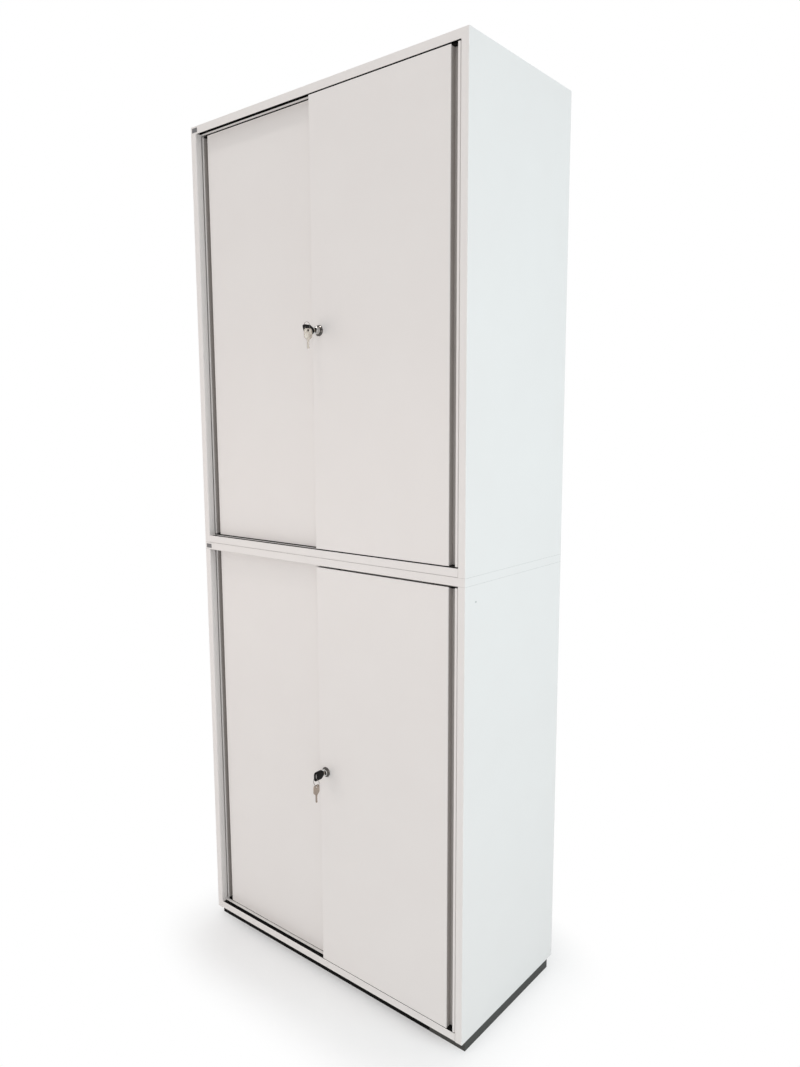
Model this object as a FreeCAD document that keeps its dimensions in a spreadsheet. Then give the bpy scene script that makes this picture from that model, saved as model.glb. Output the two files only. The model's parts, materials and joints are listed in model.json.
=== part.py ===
"""Two sheet steel sliding door cabinets, stacked and bolted on one plinth.

Millimetres, +Z up. The front faces -Y. The origin lies on the floor, under the middle of the whole
object's box, keys included. Inside this file every piece is drawn in its cabinet's own frame:
x from the left outer face, y back from the front plane, z up from the cabinet's underside. Door
pieces are drawn in the door's frame: x from its left edge, y back from its face, z from its lower
edge. The two cabinets are alike but for the height at which their doors are set and the way
their locks and keys stand.
"""
import FreeCAD, Part
import os
import re

import Sketcher

Vector = FreeCAD.Vector
doc = FreeCAD.newDocument("sliding_door_cabinet")

# ---------------------------------------------------------------------------------------------
# Driving dimensions, in millimetres
# ---------------------------------------------------------------------------------------------
SIZES = [
    ("overall_width", 900.0, "width over the sides"),
    ("overall_depth", 430.0, "depth over front flanges and back flanges"),
    ("body_height", 1116.0, "height of one cabinet, cap included"),
    ("steel", 1.0, "sheet thickness"),
    ("bend_radius", 2.0, "outer radius of a fold"),
    ("tight_bend", 1.0, "outer radius of the fold beside the lower tracks"),
    ("cap_height", 19.5, "height of the cap's edge"),
    ("cap_return", 20.0, "width of the cap's return at the sides and back"),
    ("cap_shelf", 40.0, "width of the cap's front return, which holds the upper tracks"),
    ("stile_width", 20.0, "front flange of a side"),
    ("stile_depth", 20.0, "return of the front flange"),
    ("stile_hem", 8.0, "hem at the end of the return"),
    ("rail_height", 20.0, "height of the bottom tray"),
    ("tray_return", 25.0, "width of the return under the tray"),
    ("back_gap", 1.5, "side's skin to the back panel"),
    ("plinth_height", 28.0, "height of the plinth"),
    ("plinth_side_inset", 3.0, "plinth behind the sides"),
    ("plinth_front_inset", 18.0, "plinth behind the front plane"),
    ("plinth_back_inset", 21.0, "plinth in front of the back"),
    ("plinth_flange", 24.0, "flange width of the plinth's channel"),
    ("plinth_steel", 1.5, "thickness of the plinth's channel"),
    ("track_front", 1.2, "front plane to the front track"),
    ("track_width", 11.8, "width over one track"),
    ("track_pitch", 21.0, "front track to rear track"),
    ("track_wall", 1.2, "wall of a track"),
    ("track_depth", 10.0, "depth of a track"),
    ("track_rib", 2.4, "width of the rib that the wheels run on"),
    ("track_end", 2.5, "stile to the end of a track"),
    ("door_inset", 1.5, "front plane to the front door's face"),
    ("door_thickness", 16.5, "thickness of a door"),
    ("door_clearance", 6.0, "height of the opening less that of a door"),
    ("front_door_past", 6.5, "how far the closed front door reaches past the middle"),
    ("front_door_gap", 2.0, "front door to its stile when closed"),
    ("door_overlap", 37.5, "how far the rear door reaches behind the front door"),
    ("rear_door_tuck", 4.0, "how far the rear door reaches behind its stile"),
    ("door_return", 12.0, "return at the door's plain edge"),
    ("door_hem", 3.5, "return that closes the grip's lip"),
    ("grip_width", 16.5, "mouth of the grip channel"),
    ("grip_lip", 7.0, "lip beside the grip channel"),
    ("lower_door_lift", 1.2, "lower cabinet: tray to the doors' lower edge"),
    ("upper_door_lift", 3.0, "upper cabinet: tray to the doors' lower edge"),
    ("hat_width", 60.0, "crown of the door's stiffener"),
    ("hat_flange", 12.0, "flange of the door's stiffener"),
    ("hat_depth", 14.0, "door face to the stiffener's crown"),
    ("wheel_radius", 9.0, "radius of a wheel over its flanges"),
    ("wheel_width", 5.0, "width of a wheel"),
    ("groove_depth", 1.5, "depth of the wheel's groove"),
    ("groove_width", 3.2, "width of the groove's floor"),
    ("axle_height", 7.0, "tray to the wheel's axle"),
    ("axle_radius", 2.0, "radius of the axle"),
    ("axle_clearance", 0.05, "wheel bore over the axle, on the radius"),
    ("rib_clearance", 0.2, "groove to rib"),
    ("wheel_inset", 60.0, "edge of the door's panel to the wheel"),
    ("carrier_wall", 1.2, "wall of a wheel carrier"),
    ("carrier_gap", 0.7, "wheel to the carrier's cheek"),
    ("carrier_end_gap", 2.0, "wheel to the carrier's ends"),
    ("carrier_tab", 10.0, "foot at each end of a carrier"),
    ("guide_length", 28.0, "length of a guide's tongue"),
    ("guide_side_gap", 0.5, "tongue to the track's wall"),
    ("guide_play", 0.5, "tongue to the door flange around it"),
    ("guide_rise", 6.0, "height of the tongue inside the upper track"),
    ("guide_foot", 6.0, "foot beyond the tongue, each end"),
    ("guide_foot_height", 3.0, "height of the guide's foot"),
    ("upright_front", 50.0, "front plane to the front upright"),
    ("upright_width", 30.0, "width of an upright"),
    ("slot_pitch", 75.0, "pitch of the shelf slots"),
    ("slot_height", 12.0, "height of a shelf slot"),
    ("slot_width", 3.0, "width of a shelf slot"),
    ("shelf_front", 46.0, "front plane to a shelf"),
    ("shelf_back_gap", 4.0, "shelf to the back panel"),
    ("shelf_edge", 25.0, "height of a shelf's folded edge"),
    ("shelf_hem", 12.0, "return under a shelf's edge"),
    ("shelf_side_gap", 2.0, "shelf to upright"),
    ("low_slot_count", 5.0, "number of slots, from the tray, up to the low shelf"),
    ("high_slot_count", 9.0, "number of slots, from the tray, up to the high shelf"),
    ("clip_width", 12.0, "width of a shelf clip"),
    ("clip_steel", 1.2, "thickness of a shelf clip"),
    ("clip_tab", 14.0, "reach of a shelf clip under the shelf"),
    ("clip_rise", 2.0, "slot to the top of its clip"),
    ("clip_play", 0.3, "hook to the slot's edges"),
    ("lock_height", 555.0, "cabinet's underside to the lock's axis"),
    ("lock_inset", 23.5, "front door's plain edge to the lock's axis"),
    ("rosette_radius", 13.0, "radius of the lock's rosette"),
    ("rosette_height", 4.0, "rosette over the door's face"),
    ("rosette_bevel", 2.5, "bevel of the rosette"),
    ("case_radius", 11.0, "radius of the lock's case"),
    ("case_depth", 15.5, "depth of the lock's case behind the face"),
    ("case_back", 1.5, "thickness of the case's back"),
    ("barrel_radius", 9.0, "radius of the sliding barrel"),
    ("barrel_out", 7.5, "barrel over the door's face when pushed in"),
    ("barrel_travel", 8.0, "travel of the barrel"),
    ("barrel_rim", 0.8, "bevel of the barrel's rim"),
    ("bolt_radius", 3.0, "radius of the bolt pin"),
    ("bolt_gap", 0.3, "pushed in bolt pin to the rear door's face"),
    ("keeper_radius", 4.5, "radius of the rear door's keeper hole"),
    ("plug_radius", 6.0, "radius of the barrel's turning plug"),
    ("plug_length", 18.0, "length of the plug"),
    ("lock_clearance", 0.08, "sliding and turning fits in the lock, on the radius"),
    ("lower_barrel_rest", 0.0, "lower lock: how far out its barrel stands"),
    ("upper_barrel_rest", 8.0, "upper lock: how far out its barrel stands"),
    ("lower_key_tilt", 0.0, "lower key: lean of the bow, degrees"),
    ("upper_key_tilt", 18.0, "upper key: lean of the bow, degrees"),
    ("blade_width", 7.0, "height of the key's blade"),
    ("blade_thickness", 2.0, "thickness of the key's blade"),
    ("blade_depth", 15.0, "length of blade inside the plug"),
    ("blade_neck", 2.0, "length of blade between plug and bow"),
    ("blade_play", 0.1, "blade to keyway"),
    ("bow_length", 34.0, "length of the key's bow"),
    ("bow_height", 24.0, "height of the key's bow"),
    ("bow_thickness", 3.0, "thickness of the key's bow"),
    ("bow_neck_height", 10.0, "height of the bow where it meets the blade"),
    ("bow_shoulder", 9.0, "length of the bow's taper"),
    ("bow_corner", 6.0, "corner radius of the bow"),
    ("bow_slot_end", 5.3, "bow's end to its slot"),
    ("bow_slot_width", 3.4, "width of the bow's slot"),
    ("bow_slot_height", 12.0, "height of the bow's slot"),
    ("ring_radius", 10.5, "radius of the key ring"),
    ("ring_wire", 0.6, "radius of the ring's wire"),
    ("ring_seat", 0.3, "hanging ring to what it hangs in and what hangs in it"),
    ("ring_cross", 1.5, "upright ring to the bow that it crosses on a slant"),
    ("spare_shift", 8.0, "upper lock: axis to the spare key beside the bow"),
    ("spare_width", 21.0, "width of the spare key's bow"),
    ("spare_height", 26.0, "height of the spare key's bow"),
    ("spare_shoulder", 5.0, "height of the spare key's taper"),
    ("spare_corner", 6.0, "corner radius of the spare key's bow"),
    ("spare_thickness", 2.0, "thickness of the spare key"),
    ("spare_hole_radius", 2.5, "hole in the spare key"),
    ("spare_hole_drop", 5.0, "spare key's top to its hole"),
    ("spare_shank", 22.0, "length of the spare key's shank"),
    ("spare_shank_width", 6.0, "width of the spare key's shank"),
    ("bit_pitch", 3.2, "pitch of a key's cuts"),
    ("bit_depth", 1.4, "depth of a key's cuts"),
    ("lower_spare_yaw", 0.0, "lower spare key: turn about the vertical, degrees"),
    ("upper_spare_yaw", 18.0, "upper spare key: turn about the vertical, degrees"),
    ("badge_width", 20.0, "width of the plain plate on the cap"),
    ("badge_height", 11.0, "height of the plain plate"),
    ("badge_thickness", 0.8, "thickness of the plain plate"),
    ("badge_left", 7.0, "left face to the plain plate"),
    ("bolt_inset_side", 70.0, "side to a joining bolt"),
    ("bolt_inset_front", 90.0, "front plane to a joining bolt"),
    ("bolt_inset_back", 90.0, "back to a joining bolt"),
    ("screw_radius", 4.0, "radius of a joining bolt"),
    ("screw_play", 0.5, "bolt to its hole, on the radius"),
    ("screw_head_radius", 7.5, "radius over the corners of a bolt's head"),
    ("screw_head_height", 5.3, "height of a bolt's head and of its nut"),
]

sizes = doc.addObject("Spreadsheet::Sheet", "sizes")
for row, (alias, number, meaning) in enumerate(SIZES, start=1):
    sizes.set(f"A{row}", meaning)
    sizes.set(f"B{row}", str(number))
    sizes.setAlias(f"B{row}", alias)
doc.recompute()
ALIASES = {alias for alias, number, meaning in SIZES}

# ---------------------------------------------------------------------------------------------
# Places worked out from the sizes, as expressions
# ---------------------------------------------------------------------------------------------
PLACES = {
    "opening_top": "body_height - cap_height",
    "opening_height": "opening_top - rail_height",
    "panel_back": "overall_depth - steel",
    "panel_front": "overall_depth - 2 * steel",
    "inner_radius": "bend_radius - steel",
    "track_left": "stile_width + track_end",
    "track_length": "overall_width - 2 * track_left",
    "track_floor": "rail_height - track_depth",
    "rib_top": "rail_height + axle_height - wheel_radius + groove_depth - rib_clearance",
    "door_height": "opening_height - door_clearance",
    "front_door_left": "overall_width / 2 - front_door_past",
    "front_door_width": "overall_width - stile_width - front_door_gap - front_door_left",
    "rear_door_left": "stile_width - rear_door_tuck",
    "rear_door_width": "front_door_left + door_overlap - rear_door_left",
    "rear_door_inset": "door_inset + track_pitch",
    "wheel_line": "track_front + track_width / 2 - door_inset",
    "carrier_inside": "wheel_width + 2 * carrier_gap",
    "carrier_length": "2 * wheel_radius + 2 * carrier_end_gap",
    "tongue_width": "track_width - 2 * track_wall - 2 * guide_side_gap",
    "shelf_depth": "panel_front - shelf_front - shelf_back_gap",
    "rear_upright_front": "2 * shelf_front + shelf_depth - upright_front - upright_width",
    "front_slot_line": "upright_front + upright_width / 2",
    "rear_slot_line": "rear_upright_front + upright_width / 2",
    "slot_count": "floor((opening_height - 2 * slot_pitch) / slot_pitch) + 1",
    "shelf_length": "overall_width - 2 * stile_width - 2 * shelf_side_gap",
    "lock_line": "front_door_left + lock_inset",
    "barrel_length": "case_depth - case_back - lock_clearance + barrel_out",
    "bolt_length": "rear_door_inset - door_inset - bolt_gap - case_depth + case_back + lock_clearance",
    "key_reach": "barrel_out + barrel_travel - door_inset + blade_neck + bow_length",
    "slot_line": "blade_neck + bow_length - bow_slot_end - bow_slot_width / 2",
    "ring_over": "bow_height / 2 + ring_wire + ring_cross",
    "ring_under": "bow_slot_height / 2 - ring_wire - ring_cross",
    "half_chord": "(ring_over + ring_under) / 2",
    "ring_rise": "(ring_over - ring_under) / 2",
    "ring_aside": "sqrt(ring_radius * ring_radius - half_chord * half_chord)",
    "origin_x": "overall_width / 2",
    "origin_y": "(overall_depth - key_reach) / 2",
}


def spelled(text):
    """Writes a size expression out: places are opened up and every size names its sheet."""
    def open_up(match):
        word = match.group(0)
        if word in PLACES:
            return "(" + spelled(PLACES[word]) + ")"
        return "sizes." + word if word in ALIASES else word
    return re.sub(r"[A-Za-z_][A-Za-z_0-9]*", open_up, str(text))


def value(text):
    """The present value of a size expression."""
    return float(sizes.evalExpression(spelled(text)))


def bind(thing, **expressions):
    """Binds properties to size expressions; a dot in a property's path is written as two underscores."""
    for path, text in expressions.items():
        thing.setExpression(path.replace("__", "."), spelled(text))


def place(thing, x="0", y="0", z="0"):
    """Puts a piece drawn in a cabinet's frame where that cabinet stands."""
    bind(thing, Placement__Base__x=f"{x} - origin_x", Placement__Base__y=f"{y} - origin_y",
         Placement__Base__z=z)


# ---------------------------------------------------------------------------------------------
# Drawing tools
# ---------------------------------------------------------------------------------------------
PLANE_AXIS = {"XY_Plane": "Z", "XZ_Plane": "Y", "YZ_Plane": "X"}
MATCH = 1e-4


def origin_feature(body, role):
    return next(item for item in body.Origin.OriginFeatures if item.Role == role)


def new_body(label):
    body = doc.addObject("PartDesign::Body", label)
    body.Label = label
    return body


def new_sketch(body, role, lift):
    sketch = body.newObject("Sketcher::SketchObject", "outline")
    sketch.AttachmentSupport = [(origin_feature(body, role), "")]
    sketch.MapMode = "FlatFace"
    bind(sketch, AttachmentOffset__Base__z=lift)
    return sketch


def pin_point(constraints, bindings, geometry, end, across, up):
    """Holds one end of a piece of geometry at (across, up) from the sketch's origin."""
    for kind, axis, text in (("DistanceX", -2, across), ("DistanceY", -1, up)):
        number = value(text)
        if abs(number) < MATCH:
            constraints.append(Sketcher.Constraint("PointOnObject", geometry, end, axis))
        else:
            bindings.append((len(constraints), text))
            constraints.append(Sketcher.Constraint(kind, -1, 1, geometry, end, number))


def outline(body, role, *loops, lift="0"):
    """A sketch of closed loops; each corner is an (across, up) pair of size expressions."""
    sketch = new_sketch(body, role, lift)
    constraints = []
    bindings = []
    lines = []
    for corners in loops:
        first = len(lines)
        points = [Vector(value(across), value(up), 0) for across, up in corners]
        count = len(points)
        for index, (across, up) in enumerate(corners):
            lines.append(Part.LineSegment(points[index], points[(index + 1) % count]))
            pin_point(constraints, bindings, first + index, 1, across, up)
        for index in range(count):
            following = first + (index + 1) % count
            constraints.append(Sketcher.Constraint("Coincident", first + index, 2, following, 1))
    sketch.addGeometry(lines, False)
    sketch.addConstraint(constraints)
    for index, text in bindings:
        sketch.setExpression(f"Constraints[{index}]", spelled(text))
    return sketch


def circles(body, role, *rings, lift="0"):
    """A sketch of circles; each is an (across, up, radius) triple of size expressions."""
    sketch = new_sketch(body, role, lift)
    constraints = []
    bindings = []
    shapes = []
    for index, (across, up, radius) in enumerate(rings):
        centre = Vector(value(across), value(up), 0)
        shapes.append(Part.Circle(centre, Vector(0, 0, 1), value(radius)))
        pin_point(constraints, bindings, index, 3, across, up)
        bindings.append((len(constraints), radius))
        constraints.append(Sketcher.Constraint("Radius", index, value(radius)))
    sketch.addGeometry(shapes, False)
    sketch.addConstraint(constraints)
    for index, text in bindings:
        sketch.setExpression(f"Constraints[{index}]", spelled(text))
    return sketch


def rectangle(left, low, right, high):
    return [(left, low), (right, low), (right, high), (left, high)]


def mirrored(corners, width):
    """The same corners, measured from the other edge of a piece this wide."""
    return [(f"{width} - ({across})", up) for across, up in corners]


def add_feature(body, kind, sketch, length, reverse, midplane=False):
    feature = body.newObject("PartDesign::" + kind, kind.lower())
    feature.Profile = sketch
    feature.Reversed = reverse
    feature.Midplane = midplane
    bind(feature, Length=length)
    return feature


def pad(body, sketch, length, reverse=False, midplane=False):
    feature = add_feature(body, "Pad", sketch, length, reverse, midplane)
    doc.recompute()
    return feature


def pocket(body, sketch, length, reverse=False, midplane=False):
    """Cuts a sketch into the body, against the sketch's normal unless reversed."""
    before = body.Shape.Volume
    feature = add_feature(body, "Pocket", sketch, length, reverse, midplane)
    doc.recompute()
    if not body.Shape.Volume < before - MATCH:
        raise RuntimeError(f"{body.Label}: a pocket cut nothing")
    return feature


def revolve(body, sketch):
    """Turns a sketch about its own vertical axis."""
    feature = body.newObject("PartDesign::Revolution", "revolution")
    feature.Profile = sketch
    feature.ReferenceAxis = (sketch, ["V_Axis"])
    feature.Angle = 360.0
    doc.recompute()
    return feature


def fold(body, role, corners, radius):
    """Rounds the edges that run square to a sketch's plane through these corners."""
    axis = "XYZ".index(PLANE_AXIS[role])
    plane = [index for index in range(3) if index != axis]
    targets = [(value(across), value(up)) for across, up in corners]
    names = []
    for number, edge in enumerate(body.Tip.Shape.Edges, start=1):
        start, end = edge.Vertexes[0].Point, edge.Vertexes[-1].Point
        along = [abs(end[index] - start[index]) for index in range(3)]
        if along[axis] < 1 or max(along[index] for index in plane) > MATCH:
            continue
        if any(max(abs(start[plane[0]] - a), abs(start[plane[1]] - b)) < MATCH for a, b in targets):
            names.append(f"Edge{number}")
    if len(names) < len(targets):
        raise RuntimeError(f"{body.Label}: {len(names)} edges for {len(targets)} folds")
    bent = body.Tip
    feature = body.newObject("PartDesign::Fillet", "fold")
    feature.Base = (bent, names)
    bind(feature, Radius=radius)
    doc.recompute()
    return feature


def block(x, y, z, length, width, height):
    """A box at a place, all six as size expressions."""
    box = doc.addObject("Part::Box", "block")
    bind(box, Placement__Base__x=x, Placement__Base__y=y, Placement__Base__z=z,
         Length=length, Width=width, Height=height)
    return box


def rod(x, y, z, radius, length, turn=None, kind="Part::Cylinder"):
    """A round bar, upright unless turned."""
    bar = doc.addObject(kind, "rod")
    if turn is not None:
        bar.Placement = FreeCAD.Placement(Vector(), turn)
    bind(bar, Placement__Base__x=x, Placement__Base__y=y, Placement__Base__z=z, Height=length)
    if kind == "Part::Prism":
        bind(bar, Circumradius=radius)
    else:
        bind(bar, Radius=radius)
    return bar


def cut(base, tool):
    result = doc.addObject("Part::Cut", "cut")
    result.Base = base
    result.Tool = tool
    return result


def fuse(*pieces):
    result = doc.addObject("Part::MultiFuse", "fuse")
    result.Shapes = list(pieces)
    return result


def group(label, pieces):
    """Separate solids that share one name."""
    result = doc.addObject("Part::Compound", label)
    result.Label = label
    result.Links = list(pieces)
    return result


nodes = []


def keep(thing, label, x="0", y="0", z="0"):
    """Names a finished sub-part and stands it in its place."""
    thing.Label = label
    place(thing, x, y, z)
    nodes.append(thing)
    return thing


ALONG_Y = FreeCAD.Rotation(Vector(1, 0, 0), -90)
OUTWARD = FreeCAD.Rotation(Vector(0, 0, 1), 180)


# ---------------------------------------------------------------------------------------------
# Plinth: four channels under the lower cabinet
# ---------------------------------------------------------------------------------------------
def channel_corners(outer, sign):
    """A C section on its back: web at the outer line, flanges towards the middle."""
    reach, web = f"{outer} {sign} plinth_flange", f"{outer} {sign} plinth_steel"
    under_top = "plinth_height - plinth_steel"
    return [(outer, "0"), (outer, "plinth_height"), (reach, "plinth_height"), (reach, under_top),
            (web, under_top), (web, "plinth_steel"), (reach, "plinth_steel"), (reach, "0")]


def plinth_rail(label, role, line, sign, start, end):
    """A rail of the plinth from start to end, mitred at both ends."""
    body = new_body(label)
    along_y = role == "XZ_Plane"
    lift = f"-({start})" if along_y else start
    sketch = outline(body, role, channel_corners(line, sign), lift=lift)
    pad(body, sketch, f"{end} - ({start})", reverse=along_y)
    reach = f"{line} {sign} plinth_flange"
    mitres = [[(start, line), (f"{start} + plinth_flange", reach), (start, reach)],
              [(end, line), (end, reach), (f"{end} - plinth_flange", reach)]]
    if along_y:
        mitres = [[(up, across) for across, up in corner] for corner in mitres]
    pocket(body, outline(body, "XY_Plane", *mitres), "plinth_height", reverse=True)
    return body


def make_plinth():
    front, back = "plinth_front_inset", "overall_depth - plinth_back_inset"
    left, right = "plinth_side_inset", "overall_width - plinth_side_inset"
    for label, line, sign in (("plinth_front", front, "+"), ("plinth_back", back, "-")):
        keep(plinth_rail(label, "YZ_Plane", line, sign, left, right), label)
    sides = [plinth_rail("rail", "XZ_Plane", line, sign, front, back)
             for line, sign in ((left, "+"), (right, "-"))]
    keep(group("plinth_sides", sides), "plinth_sides")


# ---------------------------------------------------------------------------------------------
# Carcass: folded sides, tray, cap and back
# ---------------------------------------------------------------------------------------------
def side_corners():
    """Plan of the left side: front flange with a hemmed return, skin, back flange."""
    hem = "stile_width - stile_hem"
    return [("0", "0"), ("stile_width", "0"), ("stile_width", "stile_depth"),
            (hem, "stile_depth"), (hem, "stile_depth - steel"),
            ("stile_width - steel", "stile_depth - steel"), ("stile_width - steel", "steel"),
            ("steel", "steel"), ("steel", "panel_back"), ("stile_width", "panel_back"),
            ("stile_width", "overall_depth"), ("0", "overall_depth")]


def make_side(label, base, flip):
    corners = side_corners()
    outer = [corners[index] for index in (0, 1, 2, 11)]
    inner = [corners[index] for index in (5, 6, 7, 8)]
    if flip:
        corners, outer, inner = (mirrored(loop, "overall_width") for loop in (corners, outer, inner))
    body = new_body(label)
    pad(body, outline(body, "XY_Plane", corners), "opening_top")
    fold(body, "XY_Plane", outer, "bend_radius")
    fold(body, "XY_Plane", inner, "inner_radius")
    keep(body, label, z=base)


def tray_corners(wall):
    """Plan of the tray, notched for the stiles, drawn this far inside its outer faces."""
    left, right = f"steel + {wall}", f"overall_width - steel - {wall}"
    notch_left, notch_right = f"stile_width + {wall}", f"overall_width - stile_width - {wall}"
    notch_back = f"stile_depth + {wall}"
    return [(notch_left, wall), (notch_right, wall), (notch_right, notch_back),
            (right, notch_back), (right, f"panel_front - {wall}"), (left, f"panel_front - {wall}"),
            (left, notch_back), (notch_left, notch_back)]


def track_openings():
    """The two slots that the tracks sit in."""
    right = "overall_width - track_left"
    front = rectangle("track_left", "track_front", right, "track_front + track_width")
    rear = rectangle("track_left", "track_front + track_pitch", right,
                     "track_front + track_width + track_pitch")
    return front, rear


def bolt_places():
    for across in ("bolt_inset_side", "overall_width - bolt_inset_side"):
        for deep in ("bolt_inset_front", "overall_depth - bolt_inset_back"):
            yield across, deep


def bolt_holes(body, lift):
    rings = [(across, deep, "screw_radius + screw_play") for across, deep in bolt_places()]
    return circles(body, "XY_Plane", *rings, lift=lift)


def make_tray(label, base, bolted):
    body = new_body(label)
    pad(body, outline(body, "XY_Plane", tray_corners("0")), "rail_height")
    pocket(body, outline(body, "XY_Plane", tray_corners("steel")), "rail_height - steel", reverse=True)
    reach = "stile_width + tray_return"
    opening = rectangle(reach, "tray_return", f"overall_width - ({reach})",
                        "panel_front - tray_return")
    pad(body, outline(body, "XY_Plane", tray_corners("steel"), opening), "steel")
    pocket(body, outline(body, "XY_Plane", *track_openings(), lift="rail_height"), "2 * steel")
    if bolted:
        pocket(body, bolt_holes(body, "rail_height"), "2 * steel")
    fold(body, "YZ_Plane", [("0", "0")], "bend_radius")
    fold(body, "YZ_Plane", [("0", "rail_height")], "tight_bend")
    keep(body, label, z=base)


def make_cap(label, base, bolted):
    body = new_body(label)
    whole = rectangle("0", "0", "overall_width", "overall_depth")
    inside = rectangle("steel", "steel", "overall_width - steel", "panel_back")
    opening = rectangle("cap_return", "cap_shelf", "overall_width - cap_return",
                        "overall_depth - cap_return")
    pad(body, outline(body, "XY_Plane", whole, lift="opening_top"), "cap_height")
    fold(body, "XY_Plane", whole, "bend_radius")
    pocket(body, outline(body, "XY_Plane", inside, lift="opening_top"), "cap_height - steel",
           reverse=True)
    pad(body, outline(body, "XY_Plane", inside, opening, lift="opening_top"), "steel")
    pocket(body, outline(body, "XY_Plane", *track_openings(), lift="opening_top"), "2 * steel",
           reverse=True)
    if bolted:
        pocket(body, bolt_holes(body, "body_height"), "2 * steel")
    keep(body, label, z=base)


def make_back(label, base):
    body = new_body(label)
    sheet = rectangle("steel + back_gap", "panel_front", "overall_width - steel - back_gap",
                      "panel_back")
    pad(body, outline(body, "XY_Plane", sheet), "opening_top")
    keep(body, label, z=base)


# ---------------------------------------------------------------------------------------------
# Tracks: black plastic channels let into the tray and the cap
# ---------------------------------------------------------------------------------------------
def lower_track(front):
    """A channel with a rib along its middle for the wheels."""
    back, middle = f"{front} + track_width", f"{front} + track_width / 2"
    inner_front, inner_back = f"{front} + track_wall", f"{back} - track_wall"
    rib_front, rib_back = f"{middle} - track_rib / 2", f"{middle} + track_rib / 2"
    floor = "track_floor + track_wall"
    body = new_body("track")
    corners = [(front, "track_floor"), (front, "rail_height"), (inner_front, "rail_height"),
               (inner_front, floor), (rib_front, floor), (rib_front, "rib_top"),
               (rib_back, "rib_top"), (rib_back, floor), (inner_back, floor),
               (inner_back, "rail_height"), (back, "rail_height"), (back, "track_floor")]
    pad(body, outline(body, "YZ_Plane", corners, lift="track_left"), "track_length")
    return body


def upper_track(front):
    """A channel on its back for the guides' tongues."""
    back = f"{front} + track_width"
    inner_front, inner_back = f"{front} + track_wall", f"{back} - track_wall"
    top = "opening_top + track_depth"
    body = new_body("track")
    corners = [(front, "opening_top"), (front, top), (back, top), (back, "opening_top"),
               (inner_back, "opening_top"), (inner_back, f"{top} - track_wall"),
               (inner_front, f"{top} - track_wall"), (inner_front, "opening_top")]
    pad(body, outline(body, "YZ_Plane", corners, lift="track_left"), "track_length")
    return body


def for_both_tracks(make, base):
    tracks = []
    for front in ("track_front", "track_front + track_pitch"):
        track = make(front)
        bind(track, Placement__Base__z=base)
        tracks.append(track)
    return tracks


# ---------------------------------------------------------------------------------------------
# Shelves, the slotted uprights behind the doors, and their clips
# ---------------------------------------------------------------------------------------------
def make_upright(front, flip, base):
    """A channel against a side, with a column of slots in its web."""
    back = f"{front} + upright_width"
    web = "stile_width - steel"
    corners = [("steel", front), ("stile_width", front), ("stile_width", back), ("steel", back),
               ("steel", f"{back} - steel"), (web, f"{back} - steel"), (web, f"{front} + steel"),
               ("steel", f"{front} + steel")]
    line = f"{front} + upright_width / 2"
    slot_low = "rail_height + slot_pitch"
    slot = rectangle(f"{line} - slot_width / 2", slot_low, f"{line} + slot_width / 2",
                     f"{slot_low} + slot_height")
    face = "stile_width"
    if flip:
        corners = mirrored(corners, "overall_width")
        face = "overall_width - stile_width"
    body = new_body("upright")
    pad(body, outline(body, "XY_Plane", corners, lift="rail_height"), "opening_height")
    first = pocket(body, outline(body, "YZ_Plane", slot, lift=face), "2 * steel", reverse=flip)
    column = body.newObject("PartDesign::LinearPattern", "column")
    column.Originals = [first]
    column.Direction = (origin_feature(body, "Z_Axis"), [""])
    bind(column, Length="(slot_count - 1) * slot_pitch", Occurrences="slot_count")
    body.Tip = column
    bind(body, Placement__Base__z=base)
    doc.recompute()
    return body


def make_shelf(label, base, slot):
    """A shelf folded from one sheet, with its front and back edges turned under."""
    back = "shelf_front + shelf_depth"
    front_hem, back_hem = "shelf_front + shelf_hem", f"{back} - shelf_hem"
    corners = [("shelf_front", "0"), ("shelf_front", "shelf_edge"), (back, "shelf_edge"),
               (back, "0"), (back_hem, "0"), (back_hem, "steel"), (f"{back} - steel", "steel"),
               (f"{back} - steel", "shelf_edge - steel"),
               ("shelf_front + steel", "shelf_edge - steel"), ("shelf_front + steel", "steel"),
               (front_hem, "steel"), (front_hem, "0")]
    body = new_body(label)
    sketch = outline(body, "YZ_Plane", corners, lift="stile_width + shelf_side_gap")
    pad(body, sketch, "shelf_length")
    fold(body, "YZ_Plane", corners[0:4], "bend_radius")
    fold(body, "YZ_Plane", corners[6:10], "inner_radius")
    rise = f"rail_height + {slot} * slot_pitch + slot_height + clip_rise + steel - shelf_edge"
    keep(body, label, z=f"{base} + {rise}")


def make_clip(line, flip, base, slot):
    """A hooked clip: a hook in the slot, a plate against the upright, a tab under the shelf."""
    low = f"{base} + rail_height + {slot} * slot_pitch"
    top = f"{low} + slot_height + clip_rise"
    pieces = [("stile_width - 2 * steel", "2 * steel", f"{line} - slot_width / 2 + clip_play",
               "slot_width - 2 * clip_play", f"{low} + clip_play", "slot_height - 2 * clip_play"),
              ("stile_width", "clip_steel", f"{line} - clip_width / 2", "clip_width",
               f"{low} - clip_rise", "slot_height + 2 * clip_rise"),
              ("stile_width", "clip_tab", f"{line} - clip_width / 2", "clip_width",
               f"{top} - clip_steel", "clip_steel")]
    boxes = []
    for left, length, front, width, bottom, height in pieces:
        start = f"overall_width - ({left}) - ({length})" if flip else left
        boxes.append(block(start, front, bottom, length, width, height))
    return fuse(*boxes)


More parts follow.
